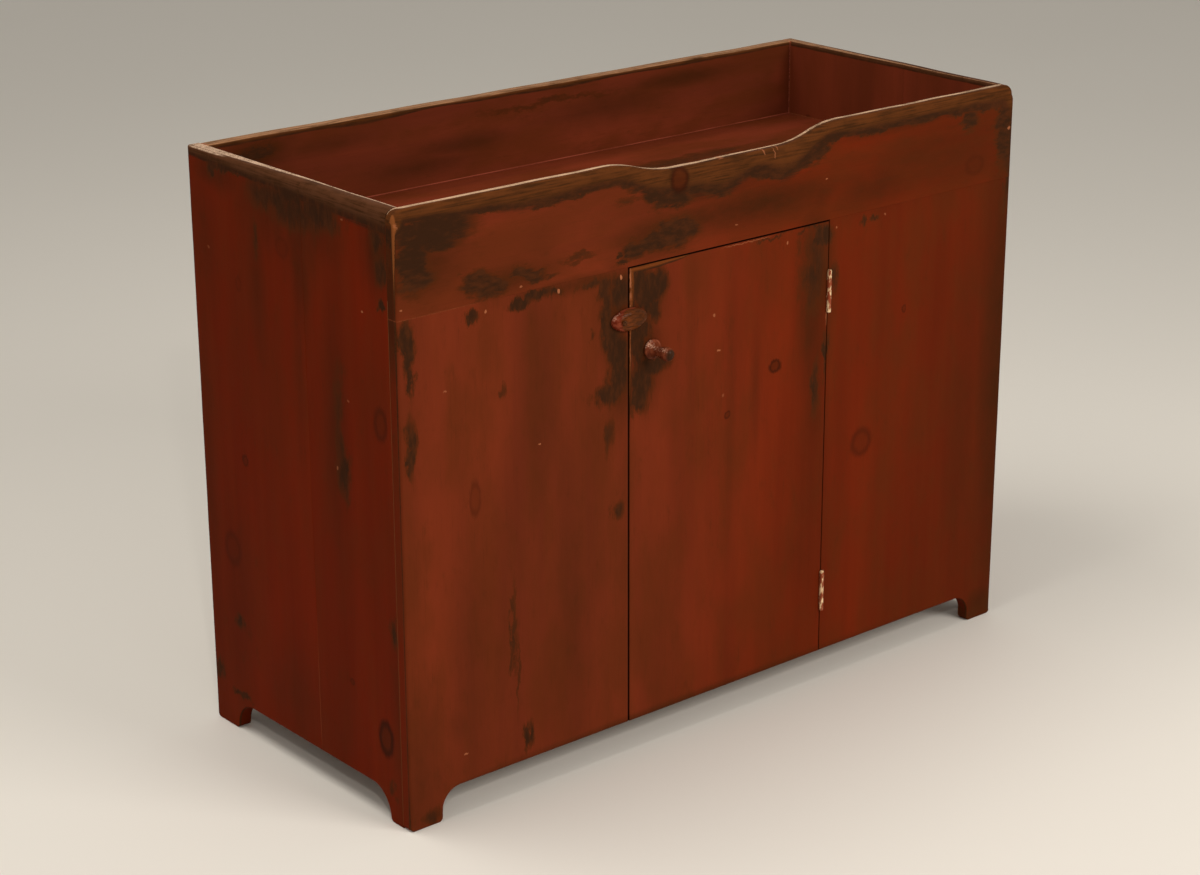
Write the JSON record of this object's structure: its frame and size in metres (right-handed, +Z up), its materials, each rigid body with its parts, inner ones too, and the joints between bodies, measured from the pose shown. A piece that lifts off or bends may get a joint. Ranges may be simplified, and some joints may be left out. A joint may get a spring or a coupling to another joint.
{
  "type": "dry sink cabinet",
  "caption": "Free-standing painted pine cabinet with an open sunken well on top, a hinged plank door with a wooden knob, a turn button and bracket-cut feet.",
  "frame": {"origin": "on the floor, under the middle of the whole object's box, which takes in the knob in front", "axes": "+X to the right along the front, +Y from the door to the back, +Z up"},
  "size_m": [1.22, 0.5547, 0.914],
  "materials": {
    "painted_pine": "old red-brown paint, satin, worn through to brown wood on the arrises, with dark rubbed patches",
    "bare_pine": "unpainted pine darkened with age, matt",
    "painted_turned_wood": "red-brown paint polished by handling",
    "hinge_brass": "pale worn brass with remains of red paint",
    "old_steel": "dull darkened steel of the nails and screws"
  },
  "bodies": {
    "cabinet": {"top_rail": "painted_pine", "stile_left": "painted_pine", "stile_right": "painted_pine", "side_left_front_board": "painted_pine", "side_left_rear_board": "painted_pine", "side_right_front_board": "painted_pine", "side_right_rear_board": "painted_pine", "well_back_board": "painted_pine", "well_floor_front_board": "painted_pine", "well_floor_rear_board": "painted_pine", "back_board_1": "bare_pine", "back_board_2": "bare_pine", "back_board_3": "bare_pine", "back_board_4": "bare_pine", "door_stop_strip": "bare_pine", "well_cleat_back": "bare_pine", "well_cleat_left": "bare_pine", "well_cleat_right": "bare_pine", "shelf": "bare_pine", "shelf_cleat_left": "bare_pine", "shelf_cleat_right": "bare_pine", "bottom_front_board": "bare_pine", "bottom_rear_board": "bare_pine", "bottom_cleat_left": "bare_pine", "bottom_cleat_right": "bare_pine", "hinge_top_stile_leaf": "hinge_brass", "hinge_top_pin": "hinge_brass", "hinge_bottom_stile_leaf": "hinge_brass", "hinge_bottom_pin": "hinge_brass", "stile_hinge_screws": "old_steel", "turn_button_screw": "old_steel", "front_nails": "old_steel", "back_nails": "old_steel", "end_nails": "old_steel", "cleat_nails": "old_steel", "well_floor_nails": "old_steel", "bottom_nails": "old_steel", "shelf_nails": "old_steel"},
    "door": {"door": "painted_pine", "door_batten_top": "bare_pine", "door_batten_bottom": "bare_pine", "door_batten_nails": "old_steel", "knob": "painted_turned_wood", "hinge_top_door_leaf": "hinge_brass", "hinge_bottom_door_leaf": "hinge_brass", "door_hinge_screws": "old_steel"},
    "turn_button": {"turn_button": "painted_turned_wood"}
  },
  "joints": [
    {"name": "door_hinge", "type": "hinge", "parent": "cabinet", "child": "door", "pos_m": [0.20125, -0.2355, 0.4015], "axis": [0, 0, 1], "range_deg": [0, 165]},
    {"name": "turn_button_pivot", "type": "hinge", "parent": "cabinet", "child": "turn_button", "pos_m": [-0.22, -0.2396, 0.686], "axis": [0, 1, 0], "range_deg": [-90, 90]}
  ]
}
